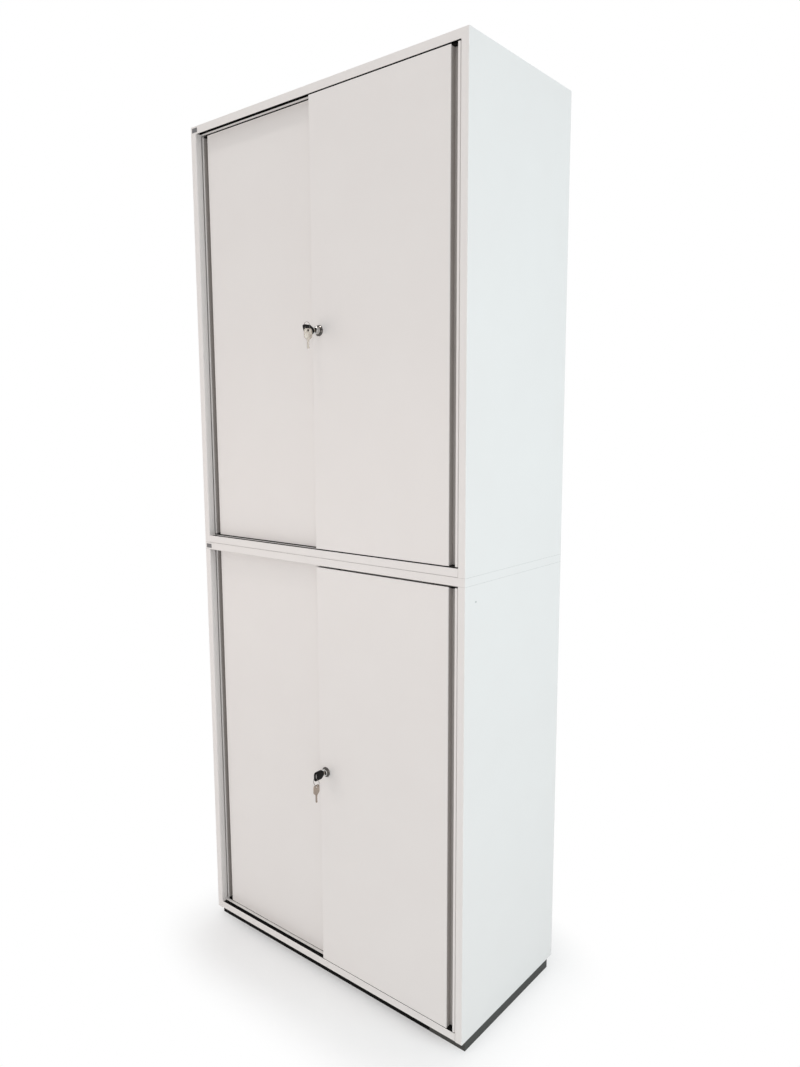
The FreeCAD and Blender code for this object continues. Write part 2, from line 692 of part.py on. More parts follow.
# ---------------------------------------------------------------------------------------------
# Doors: a folded skin with its grip channel, a stiffener, wheels below and guides above
# ---------------------------------------------------------------------------------------------
def skin_corners(width):
    """Plan of a door skin, plain edge first and grip last; the first eight corners show."""
    deep = "door_thickness"
    mouth = f"{width} - grip_lip - grip_width"
    lip = f"{width} - grip_lip"
    inside = f"{deep} - steel"
    return [("0", deep), ("0", "0"), (mouth, "0"), (mouth, inside), (lip, inside), (lip, "0"),
            (width, "0"), (width, deep), (f"{width} - door_hem", deep),
            (f"{width} - door_hem", inside), (f"{width} - steel", inside),
            (f"{width} - steel", "steel"), (f"{lip} + steel", "steel"), (f"{lip} + steel", deep),
            (f"{mouth} - steel", deep), (f"{mouth} - steel", "steel"), ("steel", "steel"),
            ("steel", inside), ("door_return", inside), ("door_return", deep)]


def wheel_places(width, flip):
    """Where the two wheels stand along a door, from its left edge."""
    near = "wheel_inset"
    far = f"{width} - grip_lip - grip_width - wheel_inset"
    if flip:
        return [f"{width} - ({far})", f"{width} - {near}"]
    return [near, far]


def make_door(label, width, flip, at, hole):
    """A door skin: hole is the (across, up, radius) of its lock or keeper hole."""
    corners = skin_corners(width)
    outer = [corners[index] for index in (0, 1, 2, 5, 6, 7)]
    inner = [corners[index] for index in (10, 11, 12, 15, 16, 17)]
    grip_back = [corners[index] for index in (13, 14)]
    flange = rectangle("steel", "steel", f"{width} - grip_lip - grip_width - steel", "door_thickness")
    if flip:
        corners, outer, inner, grip_back, flange = (
            mirrored(loop, width) for loop in (corners, outer, inner, grip_back, flange))
    body = new_body(label)
    pad(body, outline(body, "XY_Plane", corners), "door_height")
    fold(body, "XY_Plane", outer + grip_back, "bend_radius")
    fold(body, "XY_Plane", inner, "inner_radius")
    pad(body, outline(body, "XY_Plane", flange), "steel")
    pad(body, outline(body, "XY_Plane", flange, lift="door_height - steel"), "steel")
    places = wheel_places(width, flip)
    wheel_slots = [rectangle(f"{across} - carrier_length / 2", "wheel_line - carrier_inside / 2",
                             f"{across} + carrier_length / 2", "wheel_line + carrier_inside / 2")
                   for across in places]
    guide_slots = [rectangle(f"{across} - guide_length / 2 - guide_play", "steel",
                             f"{across} + guide_length / 2 + guide_play",
                             "wheel_line + tongue_width / 2 + guide_play") for across in places]
    pocket(body, outline(body, "XY_Plane", *wheel_slots), "2 * steel", reverse=True)
    pocket(body, outline(body, "XY_Plane", *guide_slots, lift="door_height"), "2 * steel")
    pocket(body, circles(body, "XZ_Plane", hole), "2 * steel")
    keep(body, label, *at)


def make_stiffener(label, width, flip, at):
    """A hat section between the door's flanges, its own flanges on the back of the face."""
    middle = f"({width} - grip_lip - grip_width) / 2"
    if flip:
        middle = f"({width} + grip_lip + grip_width) / 2"
    left, right = f"{middle} - hat_width / 2", f"{middle} + hat_width / 2"
    crown = "hat_depth - steel"
    corners = [(f"{left} - hat_flange", "steel"), (f"{left} + steel", "steel"),
               (f"{left} + steel", crown), (f"{right} - steel", crown), (f"{right} - steel", "steel"),
               (f"{right} + hat_flange", "steel"), (f"{right} + hat_flange", "2 * steel"),
               (right, "2 * steel"), (right, "hat_depth"), (left, "hat_depth"),
               (left, "2 * steel"), (f"{left} - hat_flange", "2 * steel")]
    body = new_body(label)
    pad(body, outline(body, "XY_Plane", corners, lift="steel"), "door_height - 2 * steel")
    keep(body, label, *at)


def make_carrier(across, lift):
    """A housing over a wheel, open below, with its axle and a foot at each end."""
    axle = f"axle_height - {lift}"
    top = f"{axle} + wheel_radius + carrier_gap"
    inside_front = "wheel_line - carrier_inside / 2"
    front = f"{inside_front} - carrier_wall"
    width = "carrier_inside + 2 * carrier_wall"
    left = f"{across} - carrier_length / 2 - carrier_wall"
    length = "carrier_length + 2 * carrier_wall"
    shell = block(left, front, "steel", length, width, f"{top} + carrier_wall - steel")
    hollow = block(f"{across} - carrier_length / 2", inside_front, "0", "carrier_length",
                   "carrier_inside", top)
    housing = cut(shell, hollow)
    feet = [block(f"{left} - carrier_tab", front, "steel", "carrier_tab", width, "carrier_wall"),
            block(f"{across} + carrier_length / 2 + carrier_wall", front, "steel", "carrier_tab",
                  width, "carrier_wall")]
    pin = rod(across, front, axle, "axle_radius", width, ALONG_Y)
    return fuse(housing, pin, *feet)


def make_wheel(label, x, y, z):
    """A grooved wheel that turns on its carrier's axle; the groove's flanks slope."""
    bore = "axle_radius + axle_clearance"
    rim = "wheel_radius - groove_depth"
    near, far = "(wheel_width - groove_width) / 2", "(wheel_width + groove_width) / 2"
    corners = [(bore, "0"), ("wheel_radius", "0"), (rim, near), (rim, far),
               ("wheel_radius", "wheel_width"), (bore, "wheel_width")]
    body = new_body(label)
    revolve(body, outline(body, "XY_Plane", corners))
    keep(body, label, x, f"{y} - wheel_width / 2", z)


def make_guide(across, lift):
    """A sliding block under the top flange, its tongue up in the track."""
    front = "wheel_line - tongue_width / 2"
    foot_low = "door_height - steel - guide_foot_height"
    tongue_top = f"opening_height - {lift} + guide_rise"
    foot = block(f"{across} - guide_length / 2 - guide_foot", "steel", foot_low,
                 "guide_length + 2 * guide_foot", "door_thickness - 3 * steel", "guide_foot_height")
    tongue = block(f"{across} - guide_length / 2", front, foot_low, "guide_length", "tongue_width",
                   f"{tongue_top} - ({foot_low})")
    return fuse(foot, tongue)


# ---------------------------------------------------------------------------------------------
# Lock, key, ring and spare key. Lock pieces are drawn about the lock's axis with y outwards.
# ---------------------------------------------------------------------------------------------
def make_lock_case(label, at):
    """The case behind the door's face and the bevelled rosette over it, in one turning."""
    x, face, z = at
    bore = "barrel_radius + lock_clearance"
    front = "case_depth + rosette_height"
    corners = [("bolt_radius + lock_clearance", "0"), ("case_radius", "0"),
               ("case_radius", "case_depth"), ("rosette_radius", "case_depth"),
               ("rosette_radius", f"{front} - rosette_bevel"),
               ("rosette_radius - rosette_bevel", front), (bore, front), (bore, "case_back"),
               ("bolt_radius + lock_clearance", "case_back")]
    body = new_body(label)
    revolve(body, outline(body, "XY_Plane", corners))
    lean(body, "0")
    keep(body, label, x, f"{face} + case_depth", z)


def make_barrel(label, at):
    """The barrel that slides in the case, with the bolt pin at its inner end."""
    x, plug_face, z = at
    back = "bolt_length"
    front = "bolt_length + barrel_length"
    rim = "barrel_radius - barrel_rim"
    bore = "plug_radius + lock_clearance"
    floor = f"{front} - plug_length - lock_clearance"
    corners = [("0", "0"), ("bolt_radius", "0"), ("bolt_radius", back), ("barrel_radius", back),
               ("barrel_radius", f"{front} - barrel_rim"), (rim, front), (bore, front),
               (bore, floor), ("0", floor)]
    body = new_body(label)
    revolve(body, outline(body, "XY_Plane", corners))
    lean(body, "0")
    keep(body, label, x, f"{plug_face} + {front}", z)


def make_plug(label, at, tilt):
    """The plug that turns in the barrel, with its keyway."""
    x, plug_face, z = at
    body = new_body(label)
    disc = circles(body, "XZ_Plane", ("0", "0", "plug_radius"))
    pad(body, disc, "plug_length", reverse=True)
    keyway = rectangle("-(blade_thickness / 2 + blade_play)", "-(blade_width / 2 + blade_play)",
                       "blade_thickness / 2 + blade_play", "blade_width / 2 + blade_play")
    pocket(body, outline(body, "XZ_Plane", keyway, lift="-plug_length"), "blade_depth + blade_play",
           reverse=True)
    lean(body, tilt)
    keep(body, label, x, f"{plug_face} + plug_length", z)


def lean(thing, tilt):
    """Turns a piece to face outwards, its top leant to the left about the lock's axis."""
    turn = FreeCAD.Rotation(Vector(0, -1, 0), value(tilt)) * OUTWARD
    thing.Placement = FreeCAD.Placement(Vector(), turn)


def bitted_edge(start, direction, edge, count):
    """The V cuts along one edge of a blade, as corners."""
    corners = []
    for index in range(count):
        middle = f"{start} {direction} ({index} + 1) * bit_pitch"
        corners.append((f"{middle} - bit_pitch / 3", edge))
        corners.append((middle, f"{edge} + bit_depth"))
        corners.append((f"{middle} + bit_pitch / 3", edge))
    return corners


def make_blade(label, at, tilt):
    """The key's blade, from inside the plug to the bow."""
    x, plug_face, z = at
    length = "blade_depth + blade_neck"
    low, high = "-blade_width / 2", "blade_width / 2"
    corners = [("0", high), ("0", f"{low} + bit_depth"), ("bit_depth", low)]
    corners += bitted_edge("bit_depth", "+", low, 3)
    corners += [(length, low), (length, high)]
    body = new_body(label)
    pad(body, outline(body, "YZ_Plane", corners), "blade_thickness", midplane=True)
    lean(body, tilt)
    keep(body, label, x, f"{plug_face} + blade_depth", z)


def make_bow(label, at, tilt):
    """The moulded bow, with the slot that the ring goes through."""
    x, plug_face, z = at
    half, neck = "bow_height / 2", "bow_neck_height / 2"
    corners = [("0", f"-{neck}"), ("bow_shoulder", f"-{half}"), ("bow_length", f"-{half}"),
               ("bow_length", half), ("bow_shoulder", half), ("0", neck)]
    slot_far = "bow_length - bow_slot_end"
    slot = rectangle(f"{slot_far} - bow_slot_width", "-bow_slot_height / 2", slot_far,
                     "bow_slot_height / 2")
    body = new_body(label)
    pad(body, outline(body, "YZ_Plane", corners), "bow_thickness", midplane=True)
    fold(body, "YZ_Plane", corners[1:5], "bow_corner")
    pocket(body, outline(body, "YZ_Plane", slot), "2 * bow_thickness", midplane=True)
    lean(body, tilt)
    keep(body, label, x, f"{plug_face} - blade_neck", z)


def make_ring(label, centre):
    """A ring of square wire, flat against the vertical plane across the bow."""
    x, y, z = centre
    inner, outer = "ring_radius - ring_wire", "ring_radius + ring_wire"
    body = new_body(label)
    revolve(body, outline(body, "XY_Plane", rectangle(inner, "0", outer, "2 * ring_wire")))
    keep(body, label, x, f"{y} - ring_wire", z)


def make_spare(label, wire, seat, yaw):
    """A plain steel key that hangs on the ring by the hole in its bow."""
    x, y, z = wire
    half, shank = "spare_width / 2", "spare_shank_width / 2"
    low = "spare_shank"
    bow_low, top = f"{low} + spare_shoulder", f"{low} + spare_height"
    tip = "spare_shank_width / 3"
    corners = [(half, bow_low), (half, top), (f"-{half}", top), (f"-{half}", bow_low),
               (f"-{shank}", low), (f"-{shank}", tip), ("0", "0"), (shank, tip), (shank, low)]
    hole_up = f"{top} - spare_hole_drop"
    body = new_body(label)
    pad(body, outline(body, "YZ_Plane", corners), "spare_thickness", midplane=True)
    fold(body, "YZ_Plane", corners[0:4], "spare_corner")
    pocket(body, circles(body, "YZ_Plane", ("0", hole_up, "spare_hole_radius")),
           "2 * spare_thickness", midplane=True)
    turn = FreeCAD.Rotation(Vector(0, 0, 1), -value(yaw))
    body.Placement = FreeCAD.Placement(Vector(), turn)
    keep(body, label, x, y, f"{z} - (spare_hole_radius - ring_wire - {seat}) - ({hole_up})")


def hanging_ring(at):
    """A ring that hangs in the slot, its key below: the ring's centre, and its lowest wire."""
    x, plug_face, z = at
    y = f"{plug_face} - slot_line"
    top = f"{z} - (bow_slot_height / 2 - ring_wire - ring_seat)"
    return (x, y, f"{top} - ring_radius"), (x, y, f"{top} - 2 * ring_radius")


def upright_ring(at, tilt):
    """A ring up over the leaning bow, its key beside the bow: the centre, and the key's wire."""
    x, plug_face, z = at
    y = f"{plug_face} - slot_line"
    across, along = f"cos({tilt} * 1deg)", f"sin({tilt} * 1deg)"
    aside = f"ring_aside * {across} - ring_rise * {along}"
    up = f"ring_rise * {across} + ring_aside * {along}"
    reach = f"(spare_shift - ({aside}))"
    drop = f"sqrt(ring_radius * ring_radius - {reach} * {reach})"
    return (f"{x} + {aside}", y, f"{z} + {up}"), (f"{x} + spare_shift", y, f"{z} + {up} - {drop}")


# ---------------------------------------------------------------------------------------------
# Small pieces shared by the whole object
# ---------------------------------------------------------------------------------------------
def make_badge(base):
    """A plain plate in the middle of the cap's front edge, near its left end."""
    low = f"{base} + opening_top + (cap_height - badge_height) / 2"
    return block("badge_left", "-badge_thickness", low, "badge_width", "badge_thickness",
                 "badge_height")


def make_joining_bolts(joint, upper_tray):
    """Hexagon bolts down through the upper tray and the lower cap, each with its nut."""
    pieces = []
    for across, deep in bolt_places():
        nut_low = f"{joint} - steel - screw_head_height"
        shank = rod(across, deep, nut_low, "screw_radius", f"{upper_tray} - ({nut_low})")
        head = rod(across, deep, upper_tray, "screw_head_radius", "screw_head_height",
                   kind="Part::Prism")
        nut = rod(across, deep, nut_low, "screw_head_radius", "screw_head_height",
                  kind="Part::Prism")
        pieces.append(fuse(shank, head, nut))
    return pieces


# ---------------------------------------------------------------------------------------------
# One cabinet
# ---------------------------------------------------------------------------------------------
def make_doors(name, base, lift):
    """Both doors of a cabinet with what rides on them."""
    floor = f"{base} + rail_height"
    lock_up = f"lock_height - rail_height - {lift}"
    doors = (("front", "front_door_width", False, "front_door_left", "door_inset",
              ("lock_inset", lock_up, "case_radius")),
             ("rear", "rear_door_width", True, "rear_door_left", "rear_door_inset",
              ("lock_line - rear_door_left", lock_up, "keeper_radius")))
    for which, width, flip, left, inset, hole in doors:
        label = f"{name}_{which}_door"
        at = (left, inset, f"{floor} + {lift}")
        make_door(label, width, flip, at, hole)
        make_stiffener(f"{label}_stiffener", width, flip, at)
        places = wheel_places(width, flip)
        carriers = [make_carrier(across, lift) for across in places]
        keep(group(f"{label}_carriers", carriers), f"{label}_carriers", *at)
        guides = [make_guide(across, lift) for across in places]
        keep(group(f"{label}_guides", guides), f"{label}_guides", *at)
        for side, across in zip(("left", "right"), places):
            make_wheel(f"{name}_{which}_wheel_{side}", f"{left} + {across}",
                       f"{inset} + wheel_line", f"{floor} + axle_height")


def make_lock(name, base):
    """A lock with the key in it, the ring and the spare key."""
    axis = f"{base} + lock_height"
    face = f"door_inset - barrel_out - {name}_barrel_rest"
    at = ("lock_line", face, axis)
    tilt = f"{name}_key_tilt"
    make_lock_case(f"{name}_lock_case", ("lock_line", "door_inset", axis))
    make_barrel(f"{name}_lock_barrel", at)
    make_plug(f"{name}_lock_plug", at, tilt)
    make_blade(f"{name}_key_blade", at, tilt)
    make_bow(f"{name}_key_bow", at, tilt)
    if name == "upper":
        centre, wire = upright_ring(at, tilt)
        seat = "ring_cross"
    else:
        centre, wire = hanging_ring(at)
        seat = "ring_seat"
    make_ring(f"{name}_key_ring", centre)
    make_spare(f"{name}_spare_key", wire, seat, f"{name}_spare_yaw")


def make_cabinet(name, base):
    make_side(f"{name}_side_left", base, flip=False)
    make_side(f"{name}_side_right", base, flip=True)
    make_tray(f"{name}_bottom_tray", base, bolted=name == "upper")
    make_cap(f"{name}_top_cap", base, bolted=name == "lower")
    make_back(f"{name}_back_panel", base)
    make_shelf(f"{name}_shelf_low", base, "low_slot_count")
    make_shelf(f"{name}_shelf_high", base, "high_slot_count")
    make_doors(name, base, f"{name}_door_lift")
    make_lock(name, base)


LOWER_BASE = "plinth_height"
UPPER_BASE = "plinth_height + body_height"
BASES = (LOWER_BASE, UPPER_BASE)


def make_shared_groups():
    """Like pieces of both cabinets that share one name each."""
    tracks = [track for base in BASES for make in (lower_track, upper_track)
              for track in for_both_tracks(make, base)]
    keep(group("door_tracks", tracks), "door_tracks")
    uprights = [make_upright(front, flip, base) for base in BASES
                for front in ("upright_front", "rear_upright_front") for flip in (False, True)]
    keep(group("shelf_uprights", uprights), "shelf_uprights")
    clips = [make_clip(line, flip, base, slot) for base in BASES
             for slot in ("low_slot_count", "high_slot_count")
             for line in ("front_slot_line", "rear_slot_line") for flip in (False, True)]
    keep(group("shelf_clips", clips), "shelf_clips")
    keep(group("badge_plates", [make_badge(base) for base in BASES]), "badge_plates")
    bolts = make_joining_bolts(UPPER_BASE, f"{UPPER_BASE} + rail_height")
    keep(group("joining_bolts", bolts), "joining_bolts")


def check():
    """Stops on any object that failed and any sub-part without a sound solid."""
    for item in doc.Objects:
        if "Invalid" in item.State or "Error" in item.State:
            raise RuntimeError(f"{item.Name} ({item.Label}) failed: {item.State}")
    for node in nodes:
        shape = node.Shape
        if shape.isNull() or not shape.isValid() or not shape.Solids:
            raise RuntimeError(f"{node.Label} has no sound solid")


def export():
    os.makedirs("parts", exist_ok=True)
    for node in nodes:
        node.Shape.exportStep(os.path.join("parts", f"{node.Label}.step"))


make_plinth()
make_cabinet("lower", LOWER_BASE)
make_cabinet("upper", UPPER_BASE)
make_shared_groups()
doc.recompute()
check()
export()
print(f"{len(nodes)} sub-parts, {sum(len(node.Shape.Solids) for node in nodes)} solids")
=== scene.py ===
import json
import math

import bmesh
import bpy
from mathutils import Matrix, Vector


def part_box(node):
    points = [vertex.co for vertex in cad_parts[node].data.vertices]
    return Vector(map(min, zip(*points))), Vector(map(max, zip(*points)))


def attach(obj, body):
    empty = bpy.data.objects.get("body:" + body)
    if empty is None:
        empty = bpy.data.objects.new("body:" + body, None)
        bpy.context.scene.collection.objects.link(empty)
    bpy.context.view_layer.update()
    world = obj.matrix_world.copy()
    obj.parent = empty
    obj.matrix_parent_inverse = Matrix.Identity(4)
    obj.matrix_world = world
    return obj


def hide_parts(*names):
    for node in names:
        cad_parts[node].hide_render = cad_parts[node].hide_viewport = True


# A tall sheet steel cabinet: two bodies with sliding doors, one on the other, on a low dark plinth.
# The cabinet's own lengths are in millimetres until the last moment. MM turns them into metres.
# The studio's places and sizes are in metres.
MM = 0.001

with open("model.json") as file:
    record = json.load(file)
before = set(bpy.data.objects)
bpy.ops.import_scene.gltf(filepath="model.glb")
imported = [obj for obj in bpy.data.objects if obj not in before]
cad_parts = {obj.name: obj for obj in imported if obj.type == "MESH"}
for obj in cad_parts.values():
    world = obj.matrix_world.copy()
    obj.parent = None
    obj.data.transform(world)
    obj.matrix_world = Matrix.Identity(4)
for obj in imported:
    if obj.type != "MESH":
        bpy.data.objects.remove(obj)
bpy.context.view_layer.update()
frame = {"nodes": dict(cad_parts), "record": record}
nodes = frame["nodes"]
body_of = {node: body for body, members in frame["record"]["behaviour"]["bodies"].items()
           for node in members}

# The keys' moulded heads: what the mould adds to the frame's plain bow.
BOW_NECK = 10.0             # across, where the blade comes out
BOW_NECK_CORNER = 0.6
BOW_SHOULDER = 9.0          # from the neck to where the head is at its full height
BOW_CORNER = 6.0
BOW_EDGE = 0.5              # how far its edges are rounded off
BOW_RIM = 2.0               # width of the raised rim
BOW_SINK = 0.5              # rim to panel, on each face
BOW_PANEL_EDGE = 0.1
BOW_SLOT = (3.4, 12.0)      # along the head and across it
BOW_SLOT_CORNER = 1.0
BOW_SLOT_END = 5.3          # from the slot to the head's far end
BOW_LIP = 1.1               # width of the lip round the slot
BOW_LIP_SINK = 0.2          # rim to lip, on each face
BOW_LIP_EDGE = 0.3
UPPER_KEY_LEAN = 18.0       # degrees

# The split rings.
RING_STEPS = 48             # straight pieces in a turn
RING_CROSSING = 0.08        # share of a turn, on each side, over which the wire changes sides
RING_GAP = 0.02             # what each turn's wire is thinner by, so that the turns stay apart

# The spare keys: stamped from strip, coined, milled and cut.
SPARE_WIDTH = 21.0
SPARE_CORNER = 6.0
SPARE_SHOULDER = 5.0        # height over which the bow narrows to the shank
SPARE_SHANK = 22.0
SPARE_SHANK_WIDTH = 6.0
SPARE_SHANK_CORNER = 1.0
SPARE_STOP = 1.0            # how much lower the shoulder starts on the side of the cuts
SPARE_TIP = 2.0             # height of the pointed tip
SPARE_THICKNESS = 2.0
SPARE_SINK = 0.25           # rim to field, on each face
SPARE_EDGE = 0.15
SPARE_RIM = 1.5
SPARE_RIM_EDGE = 0.25
SPARE_HOLE = 2.5            # radius
SPARE_HOLE_DROP = 5.0       # from the top edge to the hole's middle
SPARE_COLLAR = 1.0          # width of the raised ring round the hole
SPARE_COLLAR_EDGE = 0.2
SPARE_RAIL = 1.6            # width of the rib left beside the milled groove
SPARE_RAIL_START = (3.0, 2.0)   # height of its two lower corners, outer and inner
SPARE_CUTS = (0.6, 1.4, 0.9, 1.3, 0.5)  # depths, from the tip up
SPARE_FIRST_CUT = 4.5       # height of the first cut
CUT_PITCH = 3.2
CUT_FLAT = 0.5              # half the width of a cut's floor
UPPER_SPARE_YAW = 18.0      # degrees

# The plug in the side: (radius, out) from its rim to its middle, and its place back from the
# front corner and up from the bottom one.
PLUG_PROFILE = ((2.2, 0), (2.2, 0.3), (1.8, 0.6), (1.1, 0.75), (0, 0.8))
PLUG_PLACE = (42.0, 1058.0)

# A strip of painted shade along a joint between painted edges.
JOINT_WIDTH = 0.4
JOINT_PROUD = 0.06          # how far it stands out from the edges
JOINT_DEPTH = 0.5           # how far it goes in between them
JOINT_CORNER = 2.0          # radius that it takes at a corner of the cabinet

# The grip channels, and the pads that close their ends.
GRIP_LIP = 7.0              # from the door's outer edge to the channel's mouth
GRIP_MOUTH = 16.5           # width of the mouth
PAD_SINK = 1.2              # behind the door's face
PAD_DEPTH = 13.5
PAD_THICKNESS = 0.6
PAD_RISE = 1.35             # in from the door's end
PAD_CORNER = 1.0
PAD_EDGE = 0.1

# The plate over the right end of the plinth's front board.
PLATE_LENGTH = 105.0
PLATE_THICKNESS = 0.4
PLATE_CORNER = 0.5
PLATE_EDGE = 0.1

# How all the forms are finished.
LEAST_RADIUS = 0.3          # that an inset leaves at a corner
WELD = 0.001                # points nearer than this are one
SHARP_ANGLE = 35.0          # degrees between two faces, from which their edge shows

# Painted shade in folds: how far away a wall still darkens a face, and what share of a face's view
# is open where the painted shade is deepest and where it is gone.
SHADE_REACH = 45.0
SHADE_OPEN = (0.35, 0.92)

# The floor's shadow.
FLOOR_LIFT = 0.32           # share of white that is mixed in at the plinth
FLOOR_CORE = 200.0          # how far out from the middle, sideways, it is as deep as there
FLOOR_SLIM = 0.6            # how much slower it fades sideways than to the front
FLOOR_FADE = (70.0, 250.0)  # from the plinth to where it starts and ends to fade
FLOOR_SIDE = 60.0           # metres

# The eye, in metres and degrees, with its sensor and focal length in millimetres.
EYE_PLACE = (1.4432, -1.6255, 1.4825)
EYE_AZIMUTH = 39.305
EYE_ELEVATION = -7.812
EYE_ROLL = -0.194
EYE_SENSOR = 36.0
EYE_FOCAL_LENGTH = 27.586
EYE_RANGE = (0.05, 200.0)


# ---------------------------------------------------------------- colours and shader nodes

def srgb(code):
    """A hex colour as the linear red, green, blue and alpha that Blender's sockets take."""
    channels = [int(code[i:i + 2], 16) / 255 for i in (1, 3, 5)]
    linear = [c / 12.92 if c <= 0.04045 else ((c + 0.055) / 1.055) ** 2.4 for c in channels]
    return (*linear, 1.0)


def wire(tree, node, **inputs):
    """Fills a node's inputs, each by its name or _ and its number: a value or another's output."""
    for name, value in inputs.items():
        socket = node.inputs[int(name[1:]) if name[0] == "_" else name.replace("_", " ")]
        if isinstance(value, bpy.types.NodeSocket):
            tree.links.new(value, socket)
        else:
            socket.default_value = value


def add(tree, kind, settings=None, **inputs):
    """Adds one shader node. settings are its own properties."""
    node = tree.nodes.new(kind)
    for name, value in (settings or {}).items():
        setattr(node, name, value)
    wire(tree, node, **inputs)
    return node


def new_finish(name, **shader):
    """A new material: itself, its node tree, its shader, and where its patterns start from."""
    material = bpy.data.materials.new(name)
    material.use_nodes = True
    tree = material.node_tree
    skin = tree.nodes["Principled BSDF"]
    wire(tree, skin, **shader)
    return material, tree, skin, add(tree, "ShaderNodeTexCoord").outputs["Object"]


# ---------------------------------------------------------------- materials

def powder_coat(name, light, dark, shade_colour, smooth, rough, **shader):
    """Epoxy polyester powder, sprayed and baked on steel: satin, nearly one colour, orange peel.

    Deep folds are painted darker grey: painted shade, strongest where the part's own walls close
    in.
    """
    material, tree, skin, place = new_finish(name, IOR=1.5, **shader)
    # The coat's thickness drifts over the width of a hand, and its colour with it by a shade.
    drift = add(tree, "ShaderNodeTexNoise", Vector=place, Scale=1 / (160 * MM), Detail=3)
    coat = add(tree, "ShaderNodeMix", {"data_type": "RGBA"}, _0=drift.outputs["Fac"],
               _6=srgb(dark), _7=srgb(light))
    # Painted shade: where the part's own walls close in around a face, its colour goes towards the
    # darker shade colour.
    fold_shade = add(tree, "ShaderNodeAmbientOcclusion", {"only_local": True, "samples": 8},
               Distance=SHADE_REACH * MM)
    shade_share = add(tree, "ShaderNodeMapRange", Value=fold_shade.outputs["AO"], From_Min=SHADE_OPEN[0],
                From_Max=SHADE_OPEN[1])
    colour = add(tree, "ShaderNodeMix", {"data_type": "RGBA"}, _0=shade_share.outputs["Result"],
                 _6=srgb(shade_colour), _7=coat.outputs[2])
    # Orange peel is about 2 mm from crest to crest. It is drawn 6 mm wide, or it would not show.
    peel = add(tree, "ShaderNodeTexNoise", Vector=place, Scale=1 / (6 * MM), Detail=2)
    bump = add(tree, "ShaderNodeBump", Height=peel.outputs["Fac"], Distance=0.05 * MM,
               Strength=0.25)
    # The oven leaves the gloss uneven in patches of some 45 mm.
    patch = add(tree, "ShaderNodeTexNoise", Vector=place, Scale=1 / (45 * MM), Detail=2)
    gloss = add(tree, "ShaderNodeMapRange", Value=patch.outputs["Fac"], To_Min=smooth, To_Max=rough)
    wire(tree, skin, Base_Color=colour.outputs[2], Normal=bump.outputs["Normal"],
         Roughness=gloss.outputs["Result"])
    return material


def extruded_pvc():
    """Black PVC track: drawn through a die, so fine lines run along it and its gloss is soft."""
    material, tree, skin, place = new_finish("extruded_pvc_black", Base_Color=srgb("#090909"),
                                             Roughness=0.6, IOR=1.53, Specular_IOR_Level=0.1)
    # Die lines are hair-fine. They are drawn 0.8 mm apart and fifty times as long.
    drawn = add(tree, "ShaderNodeMapping", Vector=place, Scale=(0.02, 1, 1))
    lines = add(tree, "ShaderNodeTexNoise", Vector=drawn.outputs[0], Scale=1 / (0.8 * MM), Detail=2)
    bump = add(tree, "ShaderNodeBump", Height=lines.outputs["Fac"], Distance=0.03 * MM,
               Strength=0.4)
    wire(tree, skin, Normal=bump.outputs["Normal"])
    return material


def moulded(name, colour, roughness, spark_mm, **shader):
    """Injection moulded plastic: even in colour, with the fine grain of a spark-eroded mould.

    The pits are some 0.05 mm across. They are drawn spark_mm wide, or they would not show.
    """
    material, tree, skin, place = new_finish(name, Base_Color=srgb(colour), Roughness=roughness,
                                             IOR=1.5, **shader)
    sparks = add(tree, "ShaderNodeTexNoise", Vector=place, Scale=1 / (spark_mm * MM), Detail=3)
    bump = add(tree, "ShaderNodeBump", Height=sparks.outputs["Fac"], Distance=0.05 * MM,
               Strength=0.5)
    wire(tree, skin, Normal=bump.outputs["Normal"])
    return material


def zinc_plated():
    """Bright zinc on steel: faintly blue, with uneven crystals."""
    material, tree, skin, place = new_finish("zinc_plated_steel", Metallic=1.0)
    # The crystals lie in clouds of 3 mm, and a haze of 1.2 mm lies over them.
    crystals = add(tree, "ShaderNodeTexNoise", Vector=place, Scale=1 / (3 * MM), Detail=3)
    colour = add(tree, "ShaderNodeMix", {"data_type": "RGBA"}, _0=crystals.outputs["Fac"],
                 _6=srgb("#a6a9ae"), _7=srgb("#c4c7ca"))
    haze = add(tree, "ShaderNodeTexNoise", Vector=place, Scale=1 / (1.2 * MM), Detail=2)
    gloss = add(tree, "ShaderNodeMapRange", Value=haze.outputs["Fac"], To_Min=0.26, To_Max=0.44)
    wire(tree, skin, Base_Color=colour.outputs[2], Roughness=gloss.outputs["Result"])
    return material


def chromed(name, colour):
    """Chrome on a polished zinc die casting: a clear mirror, with hair lines from wiping."""
    material, tree, skin, place = new_finish(name, Base_Color=srgb(colour), Metallic=1.0)
    # The hair lines are drawn half a millimetre apart and ten times as long, so that they show.
    wiped = add(tree, "ShaderNodeMapping", Vector=place, Scale=(1, 1, 0.1))
    hairs = add(tree, "ShaderNodeTexNoise", Vector=wiped.outputs[0], Scale=1 / (0.5 * MM), Detail=2)
    gloss = add(tree, "ShaderNodeMapRange", Value=hairs.outputs["Fac"], To_Min=0.08, To_Max=0.17)
    wire(tree, skin, Roughness=gloss.outputs["Result"])
    return material


